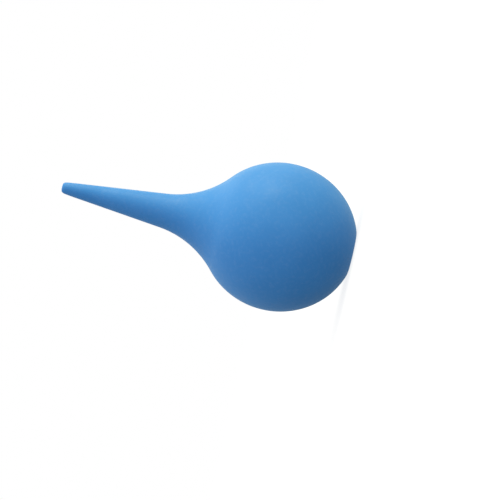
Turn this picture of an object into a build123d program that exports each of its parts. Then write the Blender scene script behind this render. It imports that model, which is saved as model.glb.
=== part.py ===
from build123d import *

import os
from math import asin, atan, cos, degrees, radians, sin, sqrt, tan

# Pipette filler bulb: a soft one-piece rubber ball that runs through a flared shoulder into a
# long tapered nozzle, closed at its base by a plug. Millimetres, upright, +Z along the nozzle,
# origin at the middle of the flat foot. The ball is pinched along Y, thumb at -Y, fingers at +Y.
# The one moulding is divided into the zones that move apart from each other when it is squeezed.

# Outside of the moulding
OVERALL_HEIGHT = 100.0  # foot to the end of the nozzle
BALL_RADIUS = 25.0  # ball, across the nozzle's axis
BALL_HALF_HEIGHT = 26.2  # ball, along the nozzle's axis
FOOT_RADIUS = 7.0  # flat that the bulb stands on
FOOT_EDGE_RADIUS = 8.0  # soft edge between that flat and the ball
SHOULDER_ANGLE = 48.5  # lean of the ball's wall where the shoulder leaves it, degrees
NOZZLE_TAPER = 6.4  # half angle of the nozzle's cone, degrees
TIP_RADIUS = 1.85
LIP_RADIUS = 0.95  # rounding of the lip at the nozzle's end

# Inside of the moulding
WALL = 2.3  # wall of the ball
FLOOR_THICKNESS = 2.5
TIP_BORE_RADIUS = 0.8
TIP_BORE_LENGTH = 12.0  # straight part of the air passage
PASSAGE_TAPER = 6.0  # half angle of the passage below the straight bore, degrees

# Plug in the base
PLUG_RADIUS = 4.0
PLUG_RECESS = 0.3
PLUG_CHAMFER = 0.4
PLUG_HEAD_RADIUS = 5.5
PLUG_HEAD_THICKNESS = 1.0

# Zones of the ball's wall
FOOT_CUT_Z = 3.0
SHOULDER_CUT_Z = 50.0
FLEX_RADIUS = 20.8  # outer edge of each flexing ring, about the pinch axis
PRESS_RADIUS = 12.0  # edge of each pad under a fingertip
ZONE_GAP = 0.2  # clearance between zones that slide past each other

# Bending places of the nozzle: the lower zone ends in a dome about the pivot
BASE_PIVOT_Z = 66.0
BASE_DOME_RADIUS = 7.5
TIP_PIVOT_Z = 80.0
TIP_DOME_RADIUS = 5.8

# Worked out from the above
CENTRE_Z = BALL_HALF_HEIGHT * sqrt(1 - (FOOT_RADIUS / BALL_RADIUS) ** 2)
AROUND = BALL_RADIUS + WALL  # a little more than the ball's radius, for cutting bodies


def half_outline(radius, half_height, floor_z, cone_radius, cone_z, taper):
    """Half of a bulb's outline: flat floor, ball, tangent shoulder arc, and cone up to cone_z."""
    floor_turn = degrees(asin((floor_z - CENTRE_Z) / half_height))
    join_turn = degrees(atan(tan(radians(SHOULDER_ANGLE)) * half_height / radius))
    ball = EllipticalCenterArc(
        (0, CENTRE_Z), radius, half_height, floor_turn, arc_size=join_turn - floor_turn
    )
    join = ball @ 1
    cone_end = Vector(cone_radius, cone_z)
    ball_normal = Vector(cos(radians(SHOULDER_ANGLE)), sin(radians(SHOULDER_ANGLE)))
    cone_normal = Vector(cos(radians(taper)), sin(radians(taper)))
    arc_radius = (join - cone_end).dot(cone_normal) / (1 - ball_normal.dot(cone_normal))
    arc_centre = join + ball_normal * arc_radius
    arc_middle = arc_centre - (ball_normal + cone_normal).normalized() * arc_radius
    arc_end = arc_centre - cone_normal * arc_radius
    ThreePointArc(join, arc_middle, arc_end)
    Line(arc_end, cone_end)
    Line((0, floor_z), ball @ 0)
    return arc_radius


# Whole moulding, outside and hollow, from which each zone is cut
with BuildPart() as moulding:
    with BuildSketch(Plane.XZ):
        with BuildLine():
            shoulder_radius = half_outline(
                BALL_RADIUS, BALL_HALF_HEIGHT, 0, TIP_RADIUS, OVERALL_HEIGHT, NOZZLE_TAPER
            )
            Polyline((TIP_RADIUS, OVERALL_HEIGHT), (0, OVERALL_HEIGHT), (0, 0))
        make_face()
    revolve(axis=Axis.Z)
    fillet(moulding.edges().group_by(Axis.Z)[0], FOOT_EDGE_RADIUS)
    fillet(moulding.edges().group_by(Axis.Z)[-1], LIP_RADIUS)
    bore_foot_z = OVERALL_HEIGHT - TIP_BORE_LENGTH
    with BuildSketch(Plane.XZ):
        with BuildLine():
            half_outline(
                BALL_RADIUS - WALL,
                BALL_HALF_HEIGHT - WALL,
                FLOOR_THICKNESS,
                TIP_BORE_RADIUS,
                bore_foot_z,
                PASSAGE_TAPER,
            )
            Polyline(
                (TIP_BORE_RADIUS, bore_foot_z),
                (TIP_BORE_RADIUS, OVERALL_HEIGHT),
                (0, OVERALL_HEIGHT),
                (0, FLOOR_THICKNESS),
            )
        make_face()
    revolve(axis=Axis.Z, mode=Mode.SUBTRACT)


# Outer end of the nozzle, with the straight bore that meets the pipette
with BuildPart() as nozzle_tip:
    with BuildSketch(Plane.XY.offset(TIP_PIVOT_Z)):
        Circle(BASE_DOME_RADIUS)
    extrude(amount=OVERALL_HEIGHT - TIP_PIVOT_Z)
    with Locations((0, 0, TIP_PIVOT_Z)):
        Sphere(TIP_DOME_RADIUS + ZONE_GAP, mode=Mode.SUBTRACT)
    add(moulding.part, mode=Mode.INTERSECT)
nozzle_tip.part.label = "nozzle_tip"


# Root of the nozzle, which bends on the shoulder below it and carries the tip above it
with BuildPart() as nozzle_base:
    with BuildSketch(Plane.XY.offset(BASE_PIVOT_Z)):
        Circle(BASE_DOME_RADIUS)
    extrude(amount=TIP_PIVOT_Z - BASE_PIVOT_Z)
    with Locations((0, 0, TIP_PIVOT_Z)):
        Sphere(TIP_DOME_RADIUS)
    with Locations((0, 0, BASE_PIVOT_Z)):
        Sphere(BASE_DOME_RADIUS + ZONE_GAP, mode=Mode.SUBTRACT)
    add(moulding.part, mode=Mode.INTERSECT)
nozzle_base.part.label = "nozzle_base"


# Flared shoulder between the ball and the nozzle
with BuildPart() as shoulder:
    with BuildSketch(Plane.XY.offset(SHOULDER_CUT_Z)):
        Circle(BALL_RADIUS)
    extrude(amount=BASE_PIVOT_Z - SHOULDER_CUT_Z)
    with Locations((0, 0, BASE_PIVOT_Z)):
        Sphere(BASE_DOME_RADIUS)
    add(moulding.part, mode=Mode.INTERSECT)
shoulder.part.label = "shoulder"


# Belt of the ball's wall that keeps its shape round both pressed faces
with BuildPart() as side_belt:
    with BuildSketch(Plane.XY.offset(FOOT_CUT_Z)):
        Circle(AROUND)
    extrude(amount=SHOULDER_CUT_Z - FOOT_CUT_Z)
    with BuildSketch(Plane.XZ):
        with Locations((0, CENTRE_Z)):
            Circle(FLEX_RADIUS + ZONE_GAP)
    extrude(amount=AROUND, both=True, mode=Mode.SUBTRACT)
    add(moulding.part, mode=Mode.INTERSECT)
side_belt.part.label = "side_belt"


# Thick base that the bulb stands on, with the hole that the mould's core left
with BuildPart() as foot:
    with BuildSketch():
        Circle(AROUND)
    extrude(amount=FOOT_CUT_Z)
    add(moulding.part, mode=Mode.INTERSECT)
    Cylinder(PLUG_RADIUS, 2 * FOOT_CUT_Z, mode=Mode.SUBTRACT)
foot.part.label = "foot"


# Stepped plug vulcanised into that hole, its head on the floor of the air chamber
with BuildPart() as base_plug:
    with BuildSketch(Plane.XY.offset(PLUG_RECESS)):
        Circle(PLUG_RADIUS)
    extrude(amount=FLOOR_THICKNESS - PLUG_RECESS)
    chamfer(base_plug.edges().group_by(Axis.Z)[0], PLUG_CHAMFER)
    with BuildSketch(Plane.XY.offset(FLOOR_THICKNESS)):
        Circle(PLUG_HEAD_RADIUS)
    extrude(amount=PLUG_HEAD_THICKNESS)
base_plug.part.label = "base_plug"


# Pressed wall on each side: a ring that follows the fingertip part of the way, and the pad
# under the fingertip. Plane.XZ faces -Y, so the thumb's side is the positive one.
pressed_walls = []
for finger, side in (("thumb", 1), ("finger", -1)):
    with BuildPart() as flex_wall:
        with BuildSketch(Plane.XZ):
            with Locations((0, CENTRE_Z)):
                Circle(FLEX_RADIUS)
                Circle(PRESS_RADIUS + ZONE_GAP, mode=Mode.SUBTRACT)
        extrude(amount=side * AROUND)
        add(moulding.part, mode=Mode.INTERSECT)
    flex_wall.part.label = finger + "_flex_wall"

    with BuildPart() as press_wall:
        with BuildSketch(Plane.XZ):
            with Locations((0, CENTRE_Z)):
                Circle(PRESS_RADIUS)
        extrude(amount=side * AROUND)
        add(moulding.part, mode=Mode.INTERSECT)
    press_wall.part.label = finger + "_press_wall"

    pressed_walls += [flex_wall.part, press_wall.part]


os.makedirs("parts", exist_ok=True)
export_step(nozzle_tip.part, "parts/nozzle_tip.step")
export_step(nozzle_base.part, "parts/nozzle_base.step")
export_step(shoulder.part, "parts/shoulder.step")
export_step(side_belt.part, "parts/side_belt.step")
export_step(foot.part, "parts/foot.step")
export_step(base_plug.part, "parts/base_plug.step")
for wall in pressed_walls:
    export_step(wall, f"parts/{wall.label}.step")

print(f"shoulder arc radius {shoulder_radius:.2f}, ball centre at z {CENTRE_Z:.2f}")
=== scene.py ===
from math import atan, ceil, cos, pi, radians, sin, tan

import bmesh
import bpy
import numpy as np
from mathutils import Matrix, Vector


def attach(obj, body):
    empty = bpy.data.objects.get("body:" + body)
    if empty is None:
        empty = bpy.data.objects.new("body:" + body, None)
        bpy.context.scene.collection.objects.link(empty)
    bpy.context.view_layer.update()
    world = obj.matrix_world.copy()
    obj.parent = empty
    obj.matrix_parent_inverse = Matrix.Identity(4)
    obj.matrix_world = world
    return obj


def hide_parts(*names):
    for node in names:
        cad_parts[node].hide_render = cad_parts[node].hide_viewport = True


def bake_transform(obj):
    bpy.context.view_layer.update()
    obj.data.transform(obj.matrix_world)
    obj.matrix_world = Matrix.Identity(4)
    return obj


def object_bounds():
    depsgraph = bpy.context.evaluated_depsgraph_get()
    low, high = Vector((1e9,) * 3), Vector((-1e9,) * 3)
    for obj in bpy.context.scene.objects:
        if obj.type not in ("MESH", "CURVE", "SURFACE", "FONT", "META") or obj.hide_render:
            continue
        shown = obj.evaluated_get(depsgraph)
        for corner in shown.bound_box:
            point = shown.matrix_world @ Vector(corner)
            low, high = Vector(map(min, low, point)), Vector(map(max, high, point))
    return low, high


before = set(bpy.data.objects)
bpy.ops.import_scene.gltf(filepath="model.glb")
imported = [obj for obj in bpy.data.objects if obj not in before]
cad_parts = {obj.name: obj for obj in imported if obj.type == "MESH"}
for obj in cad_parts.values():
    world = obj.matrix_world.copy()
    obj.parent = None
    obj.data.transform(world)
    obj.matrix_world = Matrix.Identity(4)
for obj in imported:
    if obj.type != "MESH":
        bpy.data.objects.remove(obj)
cad_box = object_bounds()

# Pipette filler bulb, in metres, upright on its foot, +Z along the nozzle. The rubber is one
# skin, made here in zones that match the bodies it bends between. The ball is pinched along Y.
MM = 0.001

# Outside and inside of the moulding
HEIGHT = cad_box[1].z
BALL_RADIUS = 25.0 * MM
BALL_HALF_HEIGHT = 26.2 * MM
FOOT_RADIUS = 7.0 * MM
SHOULDER_ANGLE = radians(48.5)  # lean of the ball's wall where the shoulder leaves it
NOZZLE_TAPER = radians(6.4)
TIP_RADIUS = 1.85 * MM
LIP_LENGTH = 1.5 * MM  # end of the nozzle, where the outside rounds in to the bore
BORE_EDGE = 0.25 * MM
BORE_FIRST_ROW = 2.0 * MM  # depth of the bore's first points below its rounded edge
WALL = 2.3 * MM
FLOOR_THICKNESS = 2.5 * MM
BORE_RADIUS = 0.8 * MM
BORE_LENGTH = 12.0 * MM
PASSAGE_TAPER = radians(6.0)
CENTRE_Z = BALL_HALF_HEIGHT * np.sqrt(1 - (FOOT_RADIUS / BALL_RADIUS) ** 2)

# Foot and plug
FOOT_FLAT_RADIUS = 5.9 * MM
FOOT_EDGE_TOP = 0.35 * MM  # height at which the soft edge of the foot meets the ball
FOOT_EDGE_PULL = 0.8 * MM  # how far that edge's curve is pulled along the flat and the ball
HOLE_RADIUS = 4.0 * MM
HOLE_LIP = 0.35 * MM
PLUG_GAP = 0.05 * MM
PLUG_RECESS = 0.3 * MM
PLUG_EDGE = 0.5 * MM
PLUG_HEAD_RADIUS = 5.5 * MM
PLUG_HEAD_THICKNESS = 1.0 * MM

# Where the skin is divided. The belt's and the pad's edges are distances from the XZ plane, and
# the belt's is wider than the ball is at the foot's and the shoulder's seams.
FOOT_SEAM_Z = 0.4 * MM
FOOT_SEAM_INSIDE_Z = 3.0 * MM
BELT_EDGE = 8.2 * MM
PAD_EDGE = 17.5 * MM
SHOULDER_SEAM_Z = 56.2 * MM
NOZZLE_BASE_Z = 58.0 * MM
NOZZLE_TIP_Z = 76.0 * MM
NOZZLE_STIFF_Z = 94.0 * MM

# The pad's wall turns inside out in the dent, so it is only a skin, and the wall round it thins
PAD_SKIN = 0.05 * MM
RING_THINNING = 0.98  # share of the wall that is gone at the ring's thin end
RING_THINNING_PACE = 1.5  # the ring is that thin by two thirds of the way to the pad

# Faint line that the two halves of the mould leave along the XZ plane
PARTING_HEIGHT = 0.05 * MM
PARTING_WIDTH = 0.22 * MM
PARTING_FADE = 2.0 * MM  # length over which it dies out at the foot and at the lip

# Mesh fineness
STEP = 0.6 * MM
COLUMNS = 160
PARTING_COLUMNS = (0.008, 0.018, 0.028)  # extra columns beside the parting line, in radians
PINCH_COLUMNS = 216
FLEX_RINGS = 28
PAD_RINGS = 42
LIP_ROWS = 14  # points along the curve of the nozzle's end, and below, of four rounded edges
BORE_EDGE_ROWS = 6
HOLE_LIP_ROWS = 7
FOOT_EDGE_ROWS = 9
PLUG_EDGE_ROWS = 7
OUTLINE_SAMPLES = 4000
RING_SEARCH = 1.4 * BALL_RADIUS  # further from the pinch axis than any ring goes
RING_HALVINGS = 50
TINY = MM / 1000  # stands for a radius of zero
CUT_SNAP = MM / 10000  # a point this near a cutting plane counts as on it
ON_SURFACE = 0.15 * MM  # a point this near the outline counts as on it
SHARP_ANGLE = radians(40)
TRUE_NORMAL_ANGLE = radians(25)  # a corner's normal is made true where it is off by less
ROUND_PULL = 0.552  # share of its side that a quarter round is pulled along, as a cubic curve


class Outline:
    """Half of a bulb's section: ball, tangent shoulder arc, and cone, straight past its end."""

    def __init__(self, radius, half_height, cone_radius, cone_z, taper):
        self.radius = radius
        self.half_height = half_height
        self.cone_radius = cone_radius
        self.cone_z = cone_z
        self.taper = taper
        turn = atan(tan(SHOULDER_ANGLE) * half_height / radius)
        join = Vector((radius * cos(turn), CENTRE_Z + half_height * sin(turn)))
        ball_normal = Vector((cos(SHOULDER_ANGLE), sin(SHOULDER_ANGLE)))
        cone_normal = Vector((cos(taper), sin(taper)))
        reach = (join - Vector((cone_radius, cone_z))).dot(cone_normal)
        self.arc_radius = reach / (1 - ball_normal.dot(cone_normal))
        self.arc_centre = join + ball_normal * self.arc_radius
        self.join_z = join.y
        self.arc_end_z = (self.arc_centre - cone_normal * self.arc_radius).y

    def r(self, z):
        """Radius at height z."""
        z = np.asarray(z, float)
        rise = (z - CENTRE_Z) / self.half_height
        ball = self.radius * np.sqrt(np.clip(1 - rise**2, 0, None))
        depth = np.clip(self.arc_radius**2 - (z - self.arc_centre.y) ** 2, 0, None)
        arc = self.arc_centre.x - np.sqrt(depth)
        cone = self.cone_radius + np.maximum(self.cone_z - z, 0) * tan(self.taper)
        return np.where(z < self.join_z, ball, np.where(z < self.arc_end_z, arc, cone))

    def slope(self, z):
        """Change of radius with height at height z."""
        z = np.asarray(z, float)
        ball = -(z - CENTRE_Z) * (self.radius / self.half_height) ** 2
        ball = ball / np.maximum(self.r(z), TINY)
        rise = z - self.arc_centre.y
        arc = rise / np.sqrt(np.maximum(self.arc_radius**2 - rise**2, MM**2))
        cone = np.full_like(z, -tan(self.taper))
        return np.where(z < self.join_z, ball, np.where(z < self.arc_end_z, arc, cone))

    def path(self, z_from, z_to, step=STEP):
        """Points (r, z) evenly along the outline between two heights, either way."""
        z = np.linspace(min(z_from, z_to), max(z_from, z_to), OUTLINE_SAMPLES)
        length = np.concatenate([[0], np.cumsum(np.hypot(np.diff(self.r(z)), np.diff(z)))])
        count = max(2, ceil(length[-1] / step) + 1)
        z = np.interp(np.linspace(0, length[-1], count), length, z)
        z = z if z_from < z_to else z[::-1]
        return list(zip(self.r(z), z))

    def ring(self, distance, turns):
        """Points of the surface that far from the XZ plane, at angles about the pinch axis."""
        low = np.zeros_like(turns)
        high = np.full_like(turns, RING_SEARCH)
        for _ in range(RING_HALVINGS):
            middle = (low + high) / 2
            inside = self.r(CENTRE_Z + middle * np.cos(turns)) ** 2
            inside = inside > distance**2 + (middle * np.sin(turns)) ** 2
            low = np.where(inside, middle, low)
            high = np.where(inside, high, middle)
        x = low * np.sin(turns)
        z = CENTRE_Z + low * np.cos(turns)
        return np.stack([x, np.full_like(x, distance), z], axis=1)


outside = Outline(BALL_RADIUS, BALL_HALF_HEIGHT, TIP_RADIUS, HEIGHT, NOZZLE_TAPER)
inside = Outline(
    BALL_RADIUS - WALL,
    BALL_HALF_HEIGHT - WALL,
    BORE_RADIUS,
    HEIGHT - BORE_LENGTH,
    PASSAGE_TAPER,
)
LIP_START_Z = HEIGHT - LIP_LENGTH


def arc(centre, radius, turn_from, turn_to, count):
    """Points of a round stretch of a profile."""
    turns = np.linspace(turn_from, turn_to, count)
    return [(centre[0] + radius * cos(t), centre[1] + radius * sin(t)) for t in turns]


def curve(a, b, c, d, count):
    """Points of a cubic curve from a to d, pulled towards b and c."""
    a, b, c, d = (np.array(p, float) for p in (a, b, c, d))
    steps = np.linspace(0, 1, count)
    return [
        tuple((1 - t) ** 3 * a + 3 * t * (1 - t) ** 2 * b + 3 * t * t * (1 - t) * c + t**3 * d)
        for t in steps
    ]


def outer_normals(points):
    """Outward unit normals of the bulb's outside at these points, without the parting line."""
    x, y, z = points.T
    r = np.maximum(np.hypot(x, y), TINY)
    normals = np.stack([x / r, y / r, -outside.slope(z)], axis=1)
    normals /= np.linalg.norm(normals, axis=1)[:, None]
    return normals


def parting_rise(points):
    """How far the parting line stands out at these points, and how that changes with y."""
    y, z = points[:, 1], points[:, 2]
    fade_in = np.clip((z - FOOT_SEAM_Z) / PARTING_FADE, 0, 1)
    fade_out = np.clip((LIP_START_Z - z) / PARTING_FADE, 0, 1)
    rise = PARTING_HEIGHT * (fade_in * fade_out) * np.exp(-((y / PARTING_WIDTH) ** 2))
    return rise, -2 * y / PARTING_WIDTH**2 * rise


def on_outside(points):
    """Which points lie on the ball, shoulder or cone, and not on the lip, foot or a cut."""
    x, y, z = points.T
    away = np.abs(np.hypot(x, y) - outside.r(z)) * np.cos(np.arctan(outside.slope(z)))
    return (away < ON_SURFACE) & (z > FOOT_EDGE_TOP) & (z < LIP_START_Z)


def make_piece(name, points, faces, material, slot):
    """A smooth closed mesh whose outside shades as the true surface does, seams or not."""
    points = np.array(points, float)
    outer = on_outside(points)
    rise, lean = parting_rise(points)
    normals = outer_normals(points)
    points[outer] += normals[outer] * rise[outer][:, None]
    normals[:, 1] -= lean
    normals /= np.linalg.norm(normals, axis=1)[:, None]

    mesh = bpy.data.meshes.new(name)
    mesh.from_pydata(points.tolist(), [], faces)
    bm = bmesh.new()
    bm.from_mesh(mesh)
    bmesh.ops.recalc_face_normals(bm, faces=bm.faces)
    bm.to_mesh(mesh)
    bm.free()
    mesh.shade_smooth()
    mesh.set_sharp_from_angle(angle=SHARP_ANGLE)

    corner = np.zeros(len(mesh.loops) * 3, np.float32)
    mesh.corner_normals.foreach_get("vector", corner)
    corner = corner.reshape(-1, 3)
    vertex = np.zeros(len(mesh.loops), np.int32)
    mesh.loops.foreach_get("vertex_index", vertex)
    true = outer[vertex] & ((corner * normals[vertex]).sum(axis=1) > cos(TRUE_NORMAL_ANGLE))
    corner[true] = normals[vertex][true]
    mesh.normals_split_custom_set(corner.tolist())

    mesh.materials.append(material)
    piece = bpy.data.objects.new(name, mesh)
    bpy.context.scene.collection.objects.link(piece)
    return piece


def column_turns():
    """Angles of a lathed piece's columns, closer together beside the parting line."""
    turns = list(np.arange(COLUMNS) * 2 * pi / COLUMNS)
    for middle in (0, pi):
        for away in PARTING_COLUMNS:
            turns += [(middle - away) % (2 * pi), middle + away]
    return np.array(sorted(turns))


def grid_faces(rows, columns, closed_rows):
    """Quads over rows of points that each close on themselves."""
    faces = []
    for i in range(rows if closed_rows else rows - 1):
        a, b = i * columns, (i + 1) % rows * columns
        for j in range(columns):
            k = (j + 1) % columns
            faces.append((a + j, a + k, b + k, b + j))
    return faces


def lathe(profile):
    """Points and faces of a closed profile turned about the nozzle's axis."""
    turns = column_turns()
    points = [(r * cos(t), r * sin(t), z) for r, z in profile for t in turns]
    return points, grid_faces(len(profile), len(turns), True)


def tube_profile(z_from, z_to):
    """Closed section of the wall between two heights."""
    return outside.path(z_from, z_to) + inside.path(z_to, z_from, 2 * STEP)


def nozzle_tip_profile():
    """Section of the nozzle's stiff end: cone, round lip and bore."""
    start = Vector((float(outside.r(LIP_START_Z)), LIP_START_Z))
    along = Vector((-sin(NOZZLE_TAPER), cos(NOZZLE_TAPER)))
    crown = Vector((BORE_RADIUS + BORE_EDGE, HEIGHT))
    pull = Vector((ROUND_PULL * (start.x - crown.x), 0))
    return (
        outside.path(NOZZLE_STIFF_Z, LIP_START_Z)
        + curve(
            start,
            start + along * ROUND_PULL * LIP_LENGTH,
            crown + pull,
            crown,
            LIP_ROWS,
        )[1:]
        + arc((crown.x, HEIGHT - BORE_EDGE), BORE_EDGE, pi / 2, pi, BORE_EDGE_ROWS)[1:]
        + [(BORE_RADIUS, HEIGHT - BORE_FIRST_ROW), (BORE_RADIUS, NOZZLE_STIFF_Z)]
    )


def foot_profile():
    """Section of the base: lip of the plug's hole, flat, soft edge, ball and floor."""
    edge_end = (float(outside.r(FOOT_EDGE_TOP)), FOOT_EDGE_TOP)
    back = Vector((float(outside.slope(FOOT_EDGE_TOP)), 1)).normalized() * FOOT_EDGE_PULL
    return (
        arc((HOLE_RADIUS + HOLE_LIP, HOLE_LIP), HOLE_LIP, pi, 1.5 * pi, HOLE_LIP_ROWS)
        + curve(
            (FOOT_FLAT_RADIUS, 0),
            (FOOT_FLAT_RADIUS + FOOT_EDGE_PULL, 0),
            (edge_end[0] - back.x, edge_end[1] - back.y),
            edge_end,
            FOOT_EDGE_ROWS,
        )
        + outside.path(FOOT_EDGE_TOP, FOOT_SEAM_Z)[1:]
        + inside.path(FOOT_SEAM_INSIDE_Z, FLOOR_THICKNESS)
        + [(HOLE_RADIUS, FLOOR_THICKNESS)]
    )


def plug_profile():
    """Section of the plug: flat face with a round edge, stem, and head inside the ball."""
    stem = HOLE_RADIUS - PLUG_GAP
    rim_z = PLUG_RECESS + PLUG_EDGE
    top_z = FLOOR_THICKNESS + PLUG_HEAD_THICKNESS
    return (
        [(TINY, PLUG_RECESS), (stem / 2, PLUG_RECESS), (stem - PLUG_EDGE, PLUG_RECESS)]
        + arc((stem - PLUG_EDGE, rim_z), PLUG_EDGE, -pi / 2, 0, PLUG_EDGE_ROWS)[1:]
        + [(stem, FLOOR_THICKNESS), (PLUG_HEAD_RADIUS, FLOOR_THICKNESS)]
        + [(PLUG_HEAD_RADIUS, top_z), (TINY, top_z)]
    )


def belt_mesh():
    """The ball's wall between foot and shoulder, cut off flat on both pressed sides."""
    profile = outside.path(FOOT_SEAM_Z, SHOULDER_SEAM_Z)
    profile += inside.path(SHOULDER_SEAM_Z, FOOT_SEAM_INSIDE_Z, 2 * STEP)
    points, faces = lathe(profile)
    mesh = bpy.data.meshes.new("cutting")
    mesh.from_pydata(points, [], faces)
    bm = bmesh.new()
    bm.from_mesh(mesh)
    for side in (-1, 1):
        cut = bmesh.ops.bisect_plane(
            bm,
            geom=bm.verts[:] + bm.edges[:] + bm.faces[:],
            plane_co=(0, side * BELT_EDGE, 0),
            plane_no=(0, side, 0),
            dist=CUT_SNAP,
            clear_outer=True,
        )
        rim = [e for e in cut["geom_cut"] if isinstance(e, bmesh.types.BMEdge)]
        bmesh.ops.triangle_fill(bm, edges=rim, use_beauty=True, normal=(0, side, 0))
    bm.verts.index_update()
    points = [tuple(v.co) for v in bm.verts]
    faces = [tuple(v.index for v in f.verts) for f in bm.faces]
    bm.free()
    bpy.data.meshes.remove(mesh)
    return points, faces


def flex_mesh(side):
    """Wall from the belt's edge to the pad's, thinning on the way, in rings like the pad's."""
    turns = np.arange(PINCH_COLUMNS) * 2 * pi / PINCH_COLUMNS
    levels = np.linspace(BELT_EDGE, PAD_EDGE, FLEX_RINGS)
    rings = [outside.ring(level, turns) for level in levels]
    for level, outer in reversed(list(zip(levels, rings))):
        thinned = min(1, (level - BELT_EDGE) / (PAD_EDGE - BELT_EDGE) * RING_THINNING_PACE)
        share = 1 - RING_THINNING * thinned
        rings.append(outer + (inside.ring(level, turns) - outer) * share)
    points = np.concatenate(rings) * [1, side, 1]
    return points, grid_faces(len(rings), PINCH_COLUMNS, True)


def pad_mesh(side):
    """Thin skin of the dome under a fingertip, in rings about the pinch axis."""
    turns = np.arange(PINCH_COLUMNS) * 2 * pi / PINCH_COLUMNS
    widest = np.sqrt(1 - (PAD_EDGE / BALL_RADIUS) ** 2)
    shares = np.linspace(widest, 0, PAD_RINGS + 1)[:-1]
    rings = np.concatenate([outside.ring(BALL_RADIUS * np.sqrt(1 - s**2), turns) for s in shares])
    top = np.array([[0, BALL_RADIUS, CENTRE_Z]])
    outer = np.concatenate([rings, top])
    inner = outer - outer_normals(outer) * PAD_SKIN
    count = len(outer)
    sheet = grid_faces(PAD_RINGS, PINCH_COLUMNS, False)
    last = (PAD_RINGS - 1) * PINCH_COLUMNS
    for j in range(PINCH_COLUMNS):
        sheet.append((last + j, last + (j + 1) % PINCH_COLUMNS, count - 1))
    faces = sheet + [tuple(count + v for v in face[::-1]) for face in sheet]
    for j in range(PINCH_COLUMNS):
        k = (j + 1) % PINCH_COLUMNS
        faces.append((k, j, count + j, count + k))
    points = np.concatenate([outer, inner]) * [1, side, 1]
    return points, faces


# ---------------------------------------------------------------- materials

# The rubber's clouds, bloom, gloss and relief: the size of each one's features, and its strength
NOISE_LOW = 0.3  # most of a noise lies between these two
NOISE_HIGH = 0.7
CLOUD_SIZE = 14 * MM
BLOOM_SIZE = 1.2 * MM
BLOOM_START = 0.48  # the bloom shows where its noise is over this, and is full at the next
BLOOM_FULL = 0.8
BLOOM_SHARE = 0.16
BLOOM_WHITENESS = 0.22  # how far its colour goes from the pale one towards white
GLOSS_SIZE = 3.5 * MM
GLOSSIEST = 0.5
DULLEST = 0.64
WAVE_SIZE = 9 * MM
WAVE_DEPTH = 0.12 * MM
PEEL_SIZE = 1.3 * MM
PEEL_DEPTH = 0.018 * MM
GRAIN_SIZE = 0.3 * MM
GRAIN_DEPTH = 0.012 * MM

# Where a Mix node keeps its colour sockets, since the names of its sockets repeat
MIX_A = 6
MIX_B = 7
MIX_RESULT = 2


def add_node(tree, kind, **values):
    """A shader node with its sockets set by name, and its own settings by lower-case name."""
    node = tree.nodes.new(kind)
    for key, value in values.items():
        if hasattr(node, key):
            setattr(node, key, value)
        else:
            node.inputs[key.replace("_", " ")].default_value = value
    return node


def noise(tree, place, size, detail, rough=0.5):
    """Noise whose features are about that size in metres."""
    node = add_node(tree, "ShaderNodeTexNoise", Scale=1 / size, Detail=detail, Roughness=rough)
    tree.links.new(place.outputs["Object"], node.inputs["Vector"])
    return node.outputs["Fac"]


def remap(tree, value, low, high, to_low, to_high):
    """value from low to high, spread over to_low to to_high."""
    node = add_node(
        tree,
        "ShaderNodeMapRange",
        From_Min=low,
        From_Max=high,
        To_Min=to_low,
        To_Max=to_high,
    )
    tree.links.new(value, node.inputs["Value"])
    return node.outputs["Result"]


def mix_colour(tree, share, a, b):
    """Two colours, or a colour and a linked one, mixed by a linked share."""
    node = tree.nodes.new("ShaderNodeMix")
    node.data_type = "RGBA"
    tree.links.new(share, node.inputs["Factor"])
    for socket, colour in ((node.inputs[MIX_A], a), (node.inputs[MIX_B], b)):
        if isinstance(colour, tuple):
            socket.default_value = (*colour, 1)
        else:
            tree.links.new(colour, socket)
    return node.outputs[MIX_RESULT]


def bump(tree, height, depth, below=None):
    """Relief of that depth in metres, on top of another relief."""
    node = add_node(tree, "ShaderNodeBump", Strength=1.0, Distance=depth)
    tree.links.new(height, node.inputs["Height"])
    if below is not None:
        tree.links.new(below, node.inputs["Normal"])
    return node.outputs["Normal"]


def rubber(name, deep, pale):
    """Matte moulded rubber: cloudy colour, powdery bloom, uneven gloss, and three reliefs."""
    material = bpy.data.materials.new(name)
    material.use_nodes = True
    tree = material.node_tree
    shader = tree.nodes["Principled BSDF"]
    shader.inputs["Specular IOR Level"].default_value = 0.32
    shader.inputs["Sheen Weight"].default_value = 0.22
    shader.inputs["Sheen Roughness"].default_value = 0.45
    shader.inputs["Sheen Tint"].default_value = (0.4, 0.8, 1.0, 1)
    place = tree.nodes.new("ShaderNodeTexCoord")

    clouds = noise(tree, place, CLOUD_SIZE, detail=3)
    clouds = remap(tree, clouds, NOISE_LOW, NOISE_HIGH, 0, 1)
    colour = mix_colour(tree, clouds, deep, pale)
    bloom_colour = tuple(c + (1 - c) * BLOOM_WHITENESS for c in pale)
    bloom = noise(tree, place, BLOOM_SIZE, detail=6, rough=0.65)
    bloom = remap(tree, bloom, BLOOM_START, BLOOM_FULL, 0, BLOOM_SHARE)
    colour = mix_colour(tree, bloom, colour, bloom_colour)
    tree.links.new(colour, shader.inputs["Base Color"])

    gloss = noise(tree, place, GLOSS_SIZE, detail=4)
    gloss = remap(tree, gloss, NOISE_LOW, NOISE_HIGH, GLOSSIEST, DULLEST)
    tree.links.new(gloss, shader.inputs["Roughness"])

    waves = noise(tree, place, WAVE_SIZE, detail=2)
    peel = noise(tree, place, PEEL_SIZE, detail=3)
    grain = noise(tree, place, GRAIN_SIZE, detail=4, rough=0.6)
    relief = bump(tree, waves, WAVE_DEPTH)
    relief = bump(tree, peel, PEEL_DEPTH, relief)
    relief = bump(tree, grain, GRAIN_DEPTH, relief)
    tree.links.new(relief, shader.inputs["Normal"])
    return material


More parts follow.
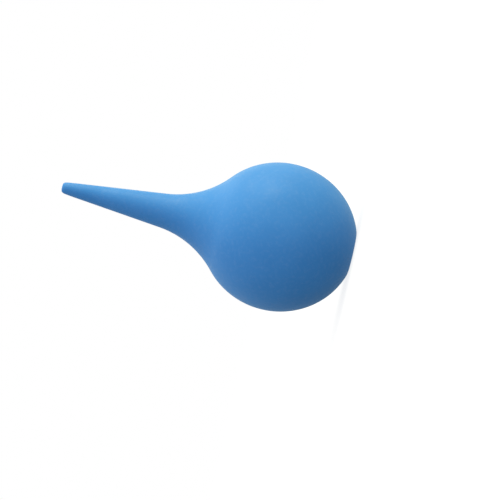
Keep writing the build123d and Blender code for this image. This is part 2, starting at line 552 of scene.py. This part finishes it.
bulb_rubber = rubber("bulb_rubber", deep=(0.038, 0.250, 0.665), pale=(0.050, 0.275, 0.71))
plug_rubber = rubber("plug_rubber", deep=(0.030, 0.190, 0.53), pale=(0.040, 0.210, 0.57))


# ------------------------------------------------------------- pieces

# Parts that keep their shape
foot = make_piece("foot_skin", *lathe(foot_profile()), bulb_rubber, "bulb_rubber")
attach(foot, "bulb_body")
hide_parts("foot")

plug = make_piece("base_plug_moulded", *lathe(plug_profile()), plug_rubber, "plug_rubber")
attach(plug, "bulb_body")
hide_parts("base_plug")

belt = make_piece("side_belt_skin", *belt_mesh(), bulb_rubber, "bulb_rubber")
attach(belt, "bulb_body")
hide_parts("side_belt")

shoulder = make_piece(
    "shoulder_skin",
    *lathe(tube_profile(SHOULDER_SEAM_Z, NOZZLE_BASE_Z)),
    bulb_rubber,
    "bulb_rubber",
)
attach(shoulder, "bulb_body")
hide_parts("shoulder")

# Nozzle: two pieces along its length, and the stiff end
nozzle_base = make_piece(
    "nozzle_base_skin",
    *lathe(tube_profile(NOZZLE_BASE_Z, NOZZLE_TIP_Z)),
    bulb_rubber,
    "bulb_rubber",
)
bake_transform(nozzle_base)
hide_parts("nozzle_base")

nozzle_middle = make_piece(
    "nozzle_middle_skin",
    *lathe(tube_profile(NOZZLE_TIP_Z, NOZZLE_STIFF_Z)),
    bulb_rubber,
    "bulb_rubber",
)
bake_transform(nozzle_middle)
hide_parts("nozzle_tip")

nozzle_tip = make_piece("nozzle_tip_skin", *lathe(nozzle_tip_profile()), bulb_rubber, "bulb_rubber")
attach(nozzle_tip, "nozzle_end")
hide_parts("nozzle_tip")

# Pressed walls
for finger, side in (("thumb", -1), ("finger", 1)):
    flex = make_piece(finger + "_flex_skin", *flex_mesh(side), bulb_rubber, "bulb_rubber")
    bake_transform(flex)
    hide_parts(finger + "_flex_wall")

    pad = make_piece(finger + "_press_skin", *pad_mesh(side), bulb_rubber, "bulb_rubber")
    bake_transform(pad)
    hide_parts(finger + "_press_wall")


# --------------------------------------------------------------- studio

# The picture lies on its side: +X is up in it, and the nozzle points left, tilted up by this much
NOZZLE_TILT = radians(12.92)
CAMERA_DISTANCE = 0.6
WIDTH_SEEN = 168.24 * MM
AIM = Vector((-6.43 * MM, 0, 33.72 * MM))
PICTURE_RIGHT = Vector((sin(NOZZLE_TILT), 0, -cos(NOZZLE_TILT)))
PICTURE_UP = Vector((cos(NOZZLE_TILT), 0, sin(NOZZLE_TILT)))
TO_CAMERA = PICTURE_RIGHT.cross(PICTURE_UP)
FLOOR_DROP = 0.02 * MM
FLOOR_HALF_SIDE = 3.0
LIGHT_COLOUR = (1.0, 0.95, 0.5)  # yellowish


def make_camera():
    """Camera on the thumb's side, looking along the pinch axis and rolled about it."""
    data = bpy.data.cameras.new("camera")
    camera = bpy.data.objects.new("camera", data)
    bpy.context.scene.collection.objects.link(camera)
    turn = Matrix((PICTURE_RIGHT, PICTURE_UP, TO_CAMERA)).transposed().to_4x4()
    camera.matrix_world = Matrix.Translation(AIM + TO_CAMERA * CAMERA_DISTANCE) @ turn
    data.lens = data.sensor_width * CAMERA_DISTANCE / WIDTH_SEEN
    data.clip_start = 0.01
    data.clip_end = 20
    bpy.context.scene.camera = camera


def make_light(name, towards, distance, size, power):
    """A square soft light, aimed at the middle of the bulb from that direction."""
    data = bpy.data.lights.new(name, "AREA")
    data.size = size
    data.energy = power
    data.color = LIGHT_COLOUR
    light = bpy.data.objects.new(name, data)
    bpy.context.scene.collection.objects.link(light)
    direction = Vector(towards).normalized()
    light.location = Vector((0, 0, HEIGHT / 2)) + direction * distance
    light.rotation_mode = "QUATERNION"
    light.rotation_quaternion = direction.to_track_quat("Z", "Y")


def make_floor():
    """Large pale floor under the foot. It shows shadows, but throws no light back on the bulb."""
    mesh = bpy.data.meshes.new("floor")
    half = FLOOR_HALF_SIDE
    z = -FLOOR_DROP
    corners = [(-half, -half, z), (half, -half, z), (half, half, z), (-half, half, z)]
    mesh.from_pydata(corners, [], [(0, 1, 2, 3)])
    floor = bpy.data.objects.new("floor", mesh)
    bpy.context.scene.collection.objects.link(floor)
    floor.visible_diffuse = False
    floor.visible_glossy = False
    floor.visible_shadow = False
    material = bpy.data.materials.new("floor")
    material.use_nodes = True
    shader = material.node_tree.nodes["Principled BSDF"]
    shader.inputs["Base Color"].default_value = (0.24, 0.24, 0.24, 1)
    shader.inputs["Roughness"].default_value = 0.9
    shader.inputs["Specular IOR Level"].default_value = 0.0
    shader.inputs["Emission Color"].default_value = (1, 1, 1, 1)
    shader.inputs["Emission Strength"].default_value = 0.82
    mesh.materials.append(material)


def make_world(towards, bright, dim):
    """Surroundings that look white, and give a soft light that is stronger from one side."""
    world = bpy.data.worlds.new("world")
    world.use_nodes = True
    tree = world.node_tree
    place = tree.nodes.new("ShaderNodeTexCoord")
    along = add_node(tree, "ShaderNodeVectorMath", operation="DOT_PRODUCT")
    along.inputs[1].default_value = towards.normalized()
    tree.links.new(place.outputs["Generated"], along.inputs[0])
    share = remap(tree, along.outputs["Value"], -1, 1, 0, 1)
    light = mix_colour(tree, share, dim, bright)
    ray = tree.nodes.new("ShaderNodeLightPath")
    colour = mix_colour(tree, ray.outputs["Is Camera Ray"], light, (1.0, 1.0, 1.0))
    tree.links.new(colour, tree.nodes["Background"].inputs["Color"])
    bpy.context.scene.world = world


make_camera()
make_world(
    towards=PICTURE_UP * 0.79 - PICTURE_RIGHT * 0.61,
    bright=(1.21, 1.21, 1.21),
    dim=(0.13, 0.13, 0.13),
)
make_floor()
make_light(
    "key",
    towards=PICTURE_UP * 0.98 - PICTURE_RIGHT * 0.13 + TO_CAMERA * 0.14,
    distance=0.6,
    size=0.35,
    power=1.95,
)
make_light("back_fill", towards=(0.2, 0.85, 0.5), distance=0.6, size=0.5, power=0.6)
bpy.context.scene.view_settings.view_transform = "Standard"
